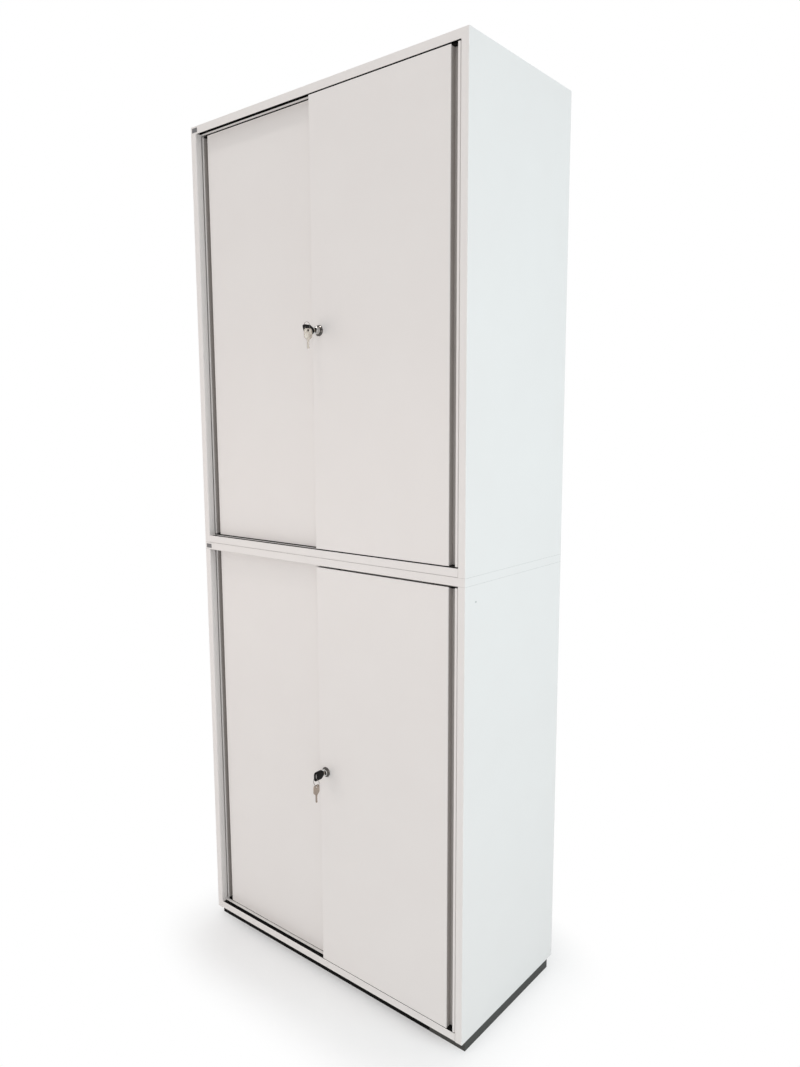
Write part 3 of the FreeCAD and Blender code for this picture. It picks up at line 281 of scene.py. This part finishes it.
def nickel_plated():
    """Nickel on stamped brass, gone warm and dull in a pocket, with the milling cutter's lines."""
    material, tree, skin, place = new_finish("nickel_plated_brass", Metallic=1.0)
    wear = add(tree, "ShaderNodeTexNoise", Vector=place, Scale=1 / (2.5 * MM), Detail=3)
    colour = add(tree, "ShaderNodeMix", {"data_type": "RGBA"}, _0=wear.outputs["Fac"],
                 _6=srgb("#aea297"), _7=srgb("#bcb0a6"))
    # The cutter moves on by 0.25 mm for each line.
    cut = add(tree, "ShaderNodeMapping", Vector=place, Scale=(1, 1, 0.06))
    lines = add(tree, "ShaderNodeTexNoise", Vector=cut.outputs[0], Scale=1 / (0.25 * MM), Detail=2)
    bump = add(tree, "ShaderNodeBump", Height=lines.outputs["Fac"], Distance=0.02 * MM,
               Strength=0.4)
    rubbed = add(tree, "ShaderNodeTexNoise", Vector=place, Scale=1 / (1.5 * MM), Detail=2)
    gloss = add(tree, "ShaderNodeMapRange", Value=rubbed.outputs["Fac"], To_Min=0.3, To_Max=0.46)
    wire(tree, skin, Base_Color=colour.outputs[2], Normal=bump.outputs["Normal"],
         Roughness=gloss.outputs["Result"])
    return material


def spring_wire():
    """Bare spring steel wire, cold drawn: a dull grey shine that changes along the wire."""
    material, tree, skin, place = new_finish("spring_steel_wire", Base_Color=srgb("#77736e"),
                                             Metallic=1.0)
    drawn = add(tree, "ShaderNodeTexNoise", Vector=place, Scale=1 / (0.4 * MM), Detail=2)
    gloss = add(tree, "ShaderNodeMapRange", Value=drawn.outputs["Fac"], To_Min=0.24, To_Max=0.4)
    wire(tree, skin, Roughness=gloss.outputs["Result"])
    return material


# The third colour of each powder coat is the painted shade in its deep folds.
finishes = {
    "white_paint": powder_coat("powder_coated_steel_white", "#e9e7e5", "#e6e3e1", "#a6a19d",
                               0.38, 0.47),
    "plinth_paint": powder_coat("powder_coated_steel_anthracite", "#51514f", "#4c4c4a", "#2b2b29",
                                0.55, 0.65, Specular_IOR_Level=0.1),
    "black_plastic": extruded_pvc(),
    "nylon": moulded("moulded_acetal_black", "#191918", 0.42, 0.6, Specular_IOR_Level=0.3),
    "zinc_steel": zinc_plated(),
    "chrome": chromed("chrome_plated_zinc", "#c2c1bf"),
    "key_steel": nickel_plated(),
    "bow_plastic": moulded("moulded_abs_black", "#0a0909", 0.4, 0.7, Specular_IOR_Level=0.22),
    "badge_plastic": moulded("moulded_abs_grey", "#6a6a6c", 0.45, 0.8),
}
for part in frame["record"]["subparts"]:
    shell = nodes[part["node"]].data
    shell.materials.clear()
    shell.materials.append(finishes[part["material_slot"]])

# The rosettes get a darker copy of the chrome, painted dark to stand for the dark room that they
# reflect, beside the bright barrels.
rosette_painted_dark_chrome = chromed("chrome_plated_zinc_painted_dark", "#5a5754")
for name in ("lower_lock_case", "upper_lock_case"):
    nodes[name].data.materials[0] = rosette_painted_dark_chrome
# The plinth's front board gets a near-black coat. Its sides and back are a dark grey.
nodes["plinth_front"].data.materials[0] = powder_coat(
    "powder_coated_steel_black", "#111110", "#0e0e0d", "#060605", 0.55, 0.65,
    Specular_IOR_Level=0.05)


# ---------------------------------------------------------------- outlines

def rounded(corners, steps=5):
    """The points of an outline. A corner is (across, up), or (across, up, radius) with an arc."""
    points = []
    for index, corner in enumerate(corners):
        here = Vector(corner[:2])
        if len(corner) == 2:
            points.append(here)
            continue
        back = (Vector(corners[index - 1][:2]) - here).normalized()
        ahead = (Vector(corners[(index + 1) % len(corners)][:2]) - here).normalized()
        half = back.angle(ahead) / 2
        centre = here + (back + ahead).normalized() * corner[2] / math.sin(half)
        reach = corner[2] / math.tan(half)
        start, end = here + back * reach - centre, here + ahead * reach - centre
        points += [centre + start.slerp(end, step / steps) * corner[2] for step in range(steps + 1)]
    return points


def inset(corners, by):
    """The same outline drawn smaller by a margin all round. Every corner has a radius."""
    smaller = []
    for index, (across, up, radius) in enumerate(corners):
        here = Vector((across, up))
        back = (Vector(corners[index - 1][:2]) - here).normalized()
        ahead = (Vector(corners[(index + 1) % len(corners)][:2]) - here).normalized()
        moved = here + (back + ahead).normalized() * by / math.sin(back.angle(ahead) / 2)
        smaller.append((*moved, max(radius - by, LEAST_RADIUS)))
    return smaller


def oblong(left, low, right, high, radius):
    """The corners of a rectangle, all rounded alike."""
    return [(left, low, radius), (right, low, radius), (right, high, radius), (left, high, radius)]


def round_hole(across, up, radius, count=24):
    """The points of a round hole about its middle."""
    turns = [2 * math.pi * step / count for step in range(count)]
    return [Vector((across + radius * math.cos(turn), up + radius * math.sin(turn)))
            for turn in turns]


# ---------------------------------------------------------------- flat parts, wire and turned caps

def from_curve(form, curve):
    """Adds the surface of a curve to the form."""
    holder = bpy.data.objects.new("pattern", curve)
    surface = bpy.data.meshes.new_from_object(holder)
    form.from_mesh(surface)
    bpy.data.objects.remove(holder)
    bpy.data.meshes.remove(surface)
    bpy.data.curves.remove(curve)


def stamped(form, outline, holes, thickness, edge):
    """Adds a flat part to the form: cut to its outline and holes, its edges rounded off."""
    curve = bpy.data.curves.new("stamped", "CURVE")
    curve.dimensions, curve.fill_mode = "2D", "BOTH"
    curve.extrude = (thickness / 2 - edge) * MM
    curve.bevel_depth, curve.bevel_resolution, curve.offset = edge * MM, 2, -edge * MM
    for loop in (outline, *holes):
        line = curve.splines.new("POLY")
        line.points.add(len(loop) - 1)
        for point, place in zip(line.points, loop):
            point.co = (place[0] * MM, place[1] * MM, 0, 1)
        line.use_cyclic_u = True
    from_curve(form, curve)


def coiled(form, places, radius):
    """Adds round wire that follows the places to the form."""
    curve = bpy.data.curves.new("coiled", "CURVE")
    curve.dimensions = "3D"
    curve.bevel_depth, curve.bevel_resolution, curve.use_fill_caps = radius * MM, 2, True
    line = curve.splines.new("POLY")
    line.points.add(len(places) - 1)
    for point, place in zip(line.points, places):
        point.co = (*(Vector(place) * MM), 1)
    from_curve(form, curve)


def turned(form, profile, count=32):
    """Adds a form turned on a lathe: (radius, out) from its closed back to its middle."""
    turns = [2 * math.pi * step / count for step in range(count)]
    rings = [[form.verts.new(Vector((radius * math.cos(turn), radius * math.sin(turn), out)) * MM)
              for turn in turns] for radius, out in profile[:-1]]
    form.faces.new(rings[0])
    for low, high in zip(rings, rings[1:]):
        for step in range(count):
            form.faces.new((low[step - 1], low[step], high[step], high[step - 1]))
    middle = form.verts.new((0, 0, profile[-1][1] * MM))
    for step in range(count):
        form.faces.new((rings[-1][step - 1], rings[-1][step], middle))


def set_in(origin, across, up):
    """Where a form's own across and up lie in the cabinet, and its own origin."""
    across, up = Vector(across), Vector(up)
    return Matrix.Translation(origin) @ Matrix((across, up, across.cross(up))).transposed().to_4x4()


def present(name, form, place, slot, finish, body, *replaced):
    """Makes a form a piece that rides on a body and stands for the CAD nodes named, if any."""
    mesh = bpy.data.meshes.new(name)
    bmesh.ops.remove_doubles(form, verts=form.verts, dist=WELD * MM)
    bmesh.ops.recalc_face_normals(form, faces=form.faces)
    form.transform(place)
    form.to_mesh(mesh)
    form.free()
    mesh.shade_smooth()
    mesh.set_sharp_from_angle(angle=math.radians(SHARP_ANGLE))
    mesh.materials.append(finish)
    piece = bpy.data.objects.new(name, mesh)
    bpy.context.scene.collection.objects.link(piece)
    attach(piece, body)
    if replaced:
        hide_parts(*replaced)


# ---------------------------------------------------------------- keys

def moulded_bow(name, lean):
    """The key's black head: a raised rim, a sunk panel, and a lipped slot for the ring."""
    low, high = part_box("lower_key_bow")
    thickness, length, height = (high - low) / MM
    half = height / 2
    head = [(0, -BOW_NECK / 2, BOW_NECK_CORNER), (BOW_SHOULDER, -half, BOW_CORNER),
            (length, -half, BOW_CORNER), (length, half, BOW_CORNER),
            (BOW_SHOULDER, half, BOW_CORNER), (0, BOW_NECK / 2, BOW_NECK_CORNER)]
    along, across = BOW_SLOT
    far = length - BOW_SLOT_END
    slot = oblong(far - along, -across / 2, far, across / 2, BOW_SLOT_CORNER)
    opening = rounded(slot)
    form = bmesh.new()
    stamped(form, rounded(head), [rounded(inset(head, BOW_RIM))], thickness, BOW_EDGE)
    stamped(form, rounded(inset(head, BOW_RIM / 2)), [opening], thickness - 2 * BOW_SINK,
            BOW_PANEL_EDGE)
    stamped(form, rounded(inset(slot, -BOW_LIP)), [opening], thickness - 2 * BOW_LIP_SINK,
            BOW_LIP_EDGE)
    node = f"{name}_key_bow"
    low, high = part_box(node)
    middle = (low + high) / 2
    place = set_in((middle.x, high.y, middle.z), (0, -1, 0), (-math.sin(lean), 0, math.cos(lean)))
    present(f"{name}_moulded_key_head", form, place, "bow_plastic", finishes["bow_plastic"],
            body_of[node], node)


def split_ring(name):
    """A key ring: two turns of wire, side by side, that cross over at one place."""
    node = f"{name}_key_ring"
    low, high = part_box(node)
    strip = (high.y - low.y) / MM
    radius = ((high.x - low.x) / MM - strip) / 2
    places = []
    for step in range(2 * RING_STEPS + 1):
        turn = 2 * math.pi * step / RING_STEPS
        side = max(-1, min(1, (step / RING_STEPS - 1) / RING_CROSSING))
        places.append((radius * math.cos(turn), radius * math.sin(turn), side * strip / 4))
    form = bmesh.new()
    coiled(form, places, strip / 4 - RING_GAP)
    place = set_in((low + high) / 2, (1, 0, 0), (0, 0, 1))
    present(f"{name}_split_ring", form, place, "key_steel", wire_finish, body_of[node], node)


def spare_key(name, yaw):
    """A stamped spare key: a coined rim on its bow, a milled shank, and its cuts on one edge."""
    node = f"{name}_spare_key"
    low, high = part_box(node)
    height = (high.z - low.z) / MM
    half, edge = SPARE_WIDTH / 2, SPARE_SHANK_WIDTH / 2
    bow_low = SPARE_SHANK + SPARE_SHOULDER
    crown = [(half, bow_low, SPARE_CORNER), (half, height, SPARE_CORNER),
             (-half, height, SPARE_CORNER), (-half, bow_low, SPARE_CORNER)]
    bow = crown + [(-edge, SPARE_SHANK, SPARE_SHANK_CORNER),
                   (edge, SPARE_SHANK, SPARE_SHANK_CORNER)]
    cuts = []
    for index, depth in enumerate(SPARE_CUTS):
        middle = SPARE_FIRST_CUT + index * CUT_PITCH
        cuts += [(edge - depth, middle - CUT_FLAT), (edge - depth, middle + CUT_FLAT)]
    blank = crown + [(-edge, SPARE_SHANK), (-edge, SPARE_TIP), (0, 0), (edge, SPARE_TIP), *cuts,
                     (edge, SPARE_SHANK - SPARE_STOP)]
    hole, collar = (round_hole(0, height - SPARE_HOLE_DROP, radius)
                    for radius in (SPARE_HOLE, SPARE_HOLE + SPARE_COLLAR))
    outer, inner = SPARE_RAIL_START
    rail = [(-edge, outer), (-edge + SPARE_RAIL, inner), (-edge + SPARE_RAIL, bow_low),
            (-edge, bow_low)]
    form = bmesh.new()
    stamped(form, rounded(blank), [hole], SPARE_THICKNESS - 2 * SPARE_SINK, SPARE_EDGE)
    stamped(form, rounded(bow), [rounded(inset(bow, SPARE_RIM))], SPARE_THICKNESS, SPARE_RIM_EDGE)
    stamped(form, collar, [hole], SPARE_THICKNESS, SPARE_COLLAR_EDGE)
    stamped(form, rounded(rail), [], SPARE_THICKNESS, SPARE_EDGE)
    middle = (low + high) / 2
    place = set_in((middle.x, middle.y, low.z), (math.sin(yaw), math.cos(yaw), 0), (0, 0, 1))
    present(f"{name}_cut_spare_key", form, place, "key_steel", finishes["key_steel"],
            body_of[node], node)


wire_finish = spring_wire()
for name, lean, yaw in (("lower", 0, 0), ("upper", UPPER_KEY_LEAN, UPPER_SPARE_YAW)):
    moulded_bow(name, math.radians(lean))
    split_ring(name)
    spare_key(name, math.radians(yaw))


# ---------------------------------------------------------------- trim

def screw_plug():
    """A small domed plug that closes a screw hole in the lower body's right side."""
    low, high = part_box("lower_side_right")
    form = bmesh.new()
    turned(form, PLUG_PROFILE)
    back, up = PLUG_PLACE
    place = set_in((high.x, low.y + back * MM, low.z + up * MM), (0, 1, 0), (0, 0, 1))
    present("screw_hole_plug", form, place, "badge_plastic",
            moulded("moulded_polyethylene_grey", "#b4b6b4", 0.5, 0.6), "cabinet")


def seam_shade_strip(name, height):
    """The line where two painted edges meet: a hair-wide grey strip all round, painted shade for
    the seam.
    """
    low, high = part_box("lower_side_left")[0] / MM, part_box("lower_side_right")[1] / MM
    edge = oblong(low.x, low.y, high.x, high.y, JOINT_CORNER)
    form = bmesh.new()
    loops = [[form.verts.new((*(point * MM), (height + side * JOINT_WIDTH / 2) * MM))
              for point in rounded(inset(edge, by))]
             for by, side in ((-JOINT_PROUD, -1), (-JOINT_PROUD, 1), (JOINT_DEPTH, 1),
                              (JOINT_DEPTH, -1))]
    for below, above in zip(loops, loops[1:] + loops[:1]):
        for step in range(len(below)):
            form.faces.new((below[step - 1], below[step], above[step], above[step - 1]))
    present(name, form, Matrix(), "badge_plastic", seam_shade_finish, "cabinet")


def grip_pads(door, side):
    """A slim black pad across each end of a door's grip channel."""
    low, high = (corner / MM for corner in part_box(door))
    outer = (high.x if side > 0 else low.x) - side * GRIP_LIP
    left, right = sorted((outer, outer - side * GRIP_MOUTH))
    front = low.y + PAD_SINK
    outline = rounded(oblong(left, front, right, front + PAD_DEPTH, PAD_CORNER))
    for end, height in (("top", high.z - PAD_RISE), ("bottom", low.z + PAD_RISE)):
        form = bmesh.new()
        stamped(form, outline, [], PAD_THICKNESS, PAD_EDGE)
        present(f"{door}_grip_pad_{end}", form, Matrix.Translation((0, 0, height * MM)),
                "black_plastic", finishes["black_plastic"], body_of[door])


def plinth_plate():
    """A grey plate on the right end of the plinth's black front, which carries on the side."""
    low, high = (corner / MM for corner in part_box("plinth_front"))
    form = bmesh.new()
    stamped(form, rounded(oblong(high.x - PLATE_LENGTH, low.z, high.x, high.z, PLATE_CORNER)), [],
            PLATE_THICKNESS, PLATE_EDGE)
    place = set_in((0, (low.y - PLATE_THICKNESS / 2) * MM, 0), (1, 0, 0), (0, 0, 1))
    present("plinth_end_plate", form, place, "plinth_paint", finishes["plinth_paint"], "cabinet")


screw_plug()
# Painted shade for the seams between painted edges.
seam_shade_finish = moulded("seam_shade_grey", "#b3b2ae", 0.6, 0.5)
for label, level in zip(("cap", "body"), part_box("lower_top_cap")):
    seam_shade_strip(f"{label}_seam_shade", level.z / MM)
for label in ("lower", "upper"):
    grip_pads(f"{label}_front_door", 1)
    grip_pads(f"{label}_rear_door", -1)
plinth_plate()


# ---------------------------------------------------------------- studio

def stage_material(name):
    """A material for the studio, without any nodes yet."""
    material = bpy.data.materials.new(name)
    material.use_nodes = True
    tree = material.node_tree
    tree.nodes.clear()
    return material, tree


def seen_directly(tree):
    """1 for the eye, in gloss and through glass, and 0 for the light that falls on things."""
    path = add(tree, "ShaderNodeLightPath").outputs
    glossy = add(tree, "ShaderNodeMath", {"operation": "MAXIMUM"}, _0=path["Is Camera Ray"],
                 _1=path["Is Glossy Ray"])
    return add(tree, "ShaderNodeMath", {"operation": "MAXIMUM"}, _0=glossy.outputs[0],
               _1=path["Is Transmission Ray"]).outputs[0]


def stage_sheet(name, width, depth, place, material):
    """A flat sheet for the studio. It is no part of the cabinet."""
    mesh = bpy.data.meshes.new(name)
    across, along = width / 2, depth / 2
    mesh.from_pydata([(-across, -along, 0), (across, -along, 0), (across, along, 0),
                      (-across, along, 0)], [], [(0, 1, 2, 3)])
    mesh.materials.append(material)
    sheet = bpy.data.objects.new(name, mesh)
    sheet.matrix_world = place
    bpy.context.scene.collection.objects.link(sheet)
    return sheet


def make_floor():
    """A white floor that keeps the cabinet's shadow and runs off to plain white further out."""
    material, tree = stage_material("studio_floor")
    place = add(tree, "ShaderNodeTexCoord").outputs["Object"]
    mirrored = add(tree, "ShaderNodeVectorMath", {"operation": "ABSOLUTE"}, _0=place).outputs[0]
    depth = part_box("plinth_sides")[1].y
    outside = add(tree, "ShaderNodeVectorMath", {"operation": "SUBTRACT"}, _0=mirrored,
                  _1=(FLOOR_CORE * MM, depth, 0)).outputs[0]
    outside = add(tree, "ShaderNodeVectorMath", {"operation": "MAXIMUM"}, _0=outside,
                  _1=(0, 0, 0)).outputs[0]
    outside = add(tree, "ShaderNodeVectorMath", {"operation": "MULTIPLY"}, _0=outside,
                  _1=(FLOOR_SLIM, 1, 0)).outputs[0]
    away = add(tree, "ShaderNodeVectorMath", {"operation": "LENGTH"}, _0=outside).outputs["Value"]
    start, end = FLOOR_FADE
    white = add(tree, "ShaderNodeMapRange", {"interpolation_type": "SMOOTHSTEP"}, Value=away,
                From_Min=start * MM, From_Max=end * MM, To_Min=FLOOR_LIFT, To_Max=1.0)
    share = add(tree, "ShaderNodeMath", {"operation": "MULTIPLY"}, _0=white.outputs["Result"],
                _1=seen_directly(tree))
    lit = add(tree, "ShaderNodeBsdfDiffuse", Color=srgb("#fafafa"))
    plain = add(tree, "ShaderNodeEmission", Color=srgb("#ffffff"), Strength=1.0)
    both = add(tree, "ShaderNodeMixShader", _0=share.outputs[0], _1=lit.outputs[0],
               _2=plain.outputs[0])
    add(tree, "ShaderNodeOutputMaterial", Surface=both.outputs[0])
    stage_sheet("floor", FLOOR_SIDE, FLOOR_SIDE, Matrix(), material)


def make_flag(place, aim, size):
    """A black cloth behind the eye, seen only in gloss: chrome shows dark edges, as in a room."""
    material, tree = stage_material("black_flag")
    cloth = add(tree, "ShaderNodeBsdfDiffuse", Color=srgb("#050505"))
    add(tree, "ShaderNodeOutputMaterial", Surface=cloth.outputs[0])
    turn = (Vector(aim) - Vector(place)).to_track_quat("Z", "Y").to_matrix().to_4x4()
    flag = stage_sheet("black_flag", *size, Matrix.Translation(place) @ turn, material)
    flag.visible_camera = flag.visible_diffuse = flag.visible_shadow = False
    flag.visible_transmission = False


def make_world(strength):
    """An even white room. Seen directly, in gloss and through glass it is plain white."""
    world = bpy.data.worlds.new("studio")
    bpy.context.scene.world = world
    world.use_nodes = True
    tree = world.node_tree
    tree.nodes.clear()
    light = add(tree, "ShaderNodeBackground", Color=srgb("#ffffff"), Strength=strength)
    shown = add(tree, "ShaderNodeBackground", Color=srgb("#ffffff"), Strength=1.0)
    pick = add(tree, "ShaderNodeMixShader", _0=seen_directly(tree), _1=light.outputs[0],
               _2=shown.outputs[0])
    add(tree, "ShaderNodeOutputWorld", Surface=pick.outputs[0])


def make_lamp(name, place, aim, size, power, colour):
    """A softbox of some width and height, turned to what it is aimed at. Power is in watts."""
    lamp = bpy.data.lights.new(name, "AREA")
    lamp.shape = "RECTANGLE"
    lamp.size, lamp.size_y = size
    lamp.energy = power
    lamp.color = srgb(colour)[:3]
    holder = bpy.data.objects.new(name, lamp)
    holder.location = place
    holder.rotation_euler = (Vector(aim) - Vector(place)).to_track_quat("-Z", "Y").to_euler()
    bpy.context.scene.collection.objects.link(holder)


def make_camera():
    """The eye stands to the right of the cabinet, above its middle, and looks down a little."""
    lens = bpy.data.cameras.new("eye")
    lens.sensor_width = EYE_SENSOR
    lens.lens = EYE_FOCAL_LENGTH
    lens.clip_start, lens.clip_end = EYE_RANGE
    eye = bpy.data.objects.new("eye", lens)
    azimuth, elevation, roll = (math.radians(angle)
                                for angle in (EYE_AZIMUTH, EYE_ELEVATION, EYE_ROLL))
    level = math.cos(elevation)
    ahead = Vector((-math.sin(azimuth) * level, math.cos(azimuth) * level, math.sin(elevation)))
    turn = ahead.to_track_quat("-Z", "Y").to_matrix().to_4x4() @ Matrix.Rotation(roll, 4, "Z")
    eye.matrix_world = Matrix.Translation(EYE_PLACE) @ turn
    bpy.context.scene.collection.objects.link(eye)
    bpy.context.scene.camera = eye


make_camera()
make_floor()
make_world(strength=0.55)
# A lamp's place, its aim, its width and height, its watts and its colour.
make_lamp("front_left_softbox", (-2.0, -3.0, 0.7), (-0.1, -0.19, 0.9), (3.2, 2.0), 28, "#ffeee6")
make_lamp("front_right_softbox", (2.3, -2.7, 1.4), (0.2, -0.19, 1.2), (1.6, 1.8), 15, "#fffaf8")
make_lamp("right_softbox", (3.0, 0.15, 1.4), (0.45, 0.1, 1.3), (1.2, 1.6), 20.5, "#e1f8ff")
make_lamp("right_high_softbox", (2.6, 0, 2.6), (0.45, 0.1, 1.6), (1.2, 1.2), 7, "#e1f8ff")
make_lamp("top_strip", (0, -1.3, 4.6), (0, -0.19, 1.2), (0.3, 0.2), 10, "#fff8f5")
make_lamp("overhead_softbox", (0.4, -0.8, 5.2), (0, 0, 0), (4.0, 4.0), 10, "#ffffff")
make_lamp("back_softbox", (-1.5, 4.2, 1.8), (0, 0.2, 1.1), (2.4, 2.0), 20, "#ffffff")
make_flag((4.6, -4.9, 1.6), (0, -0.2, 1.2), (5.0, 5.0))
bpy.context.scene.view_settings.view_transform = "Standard"
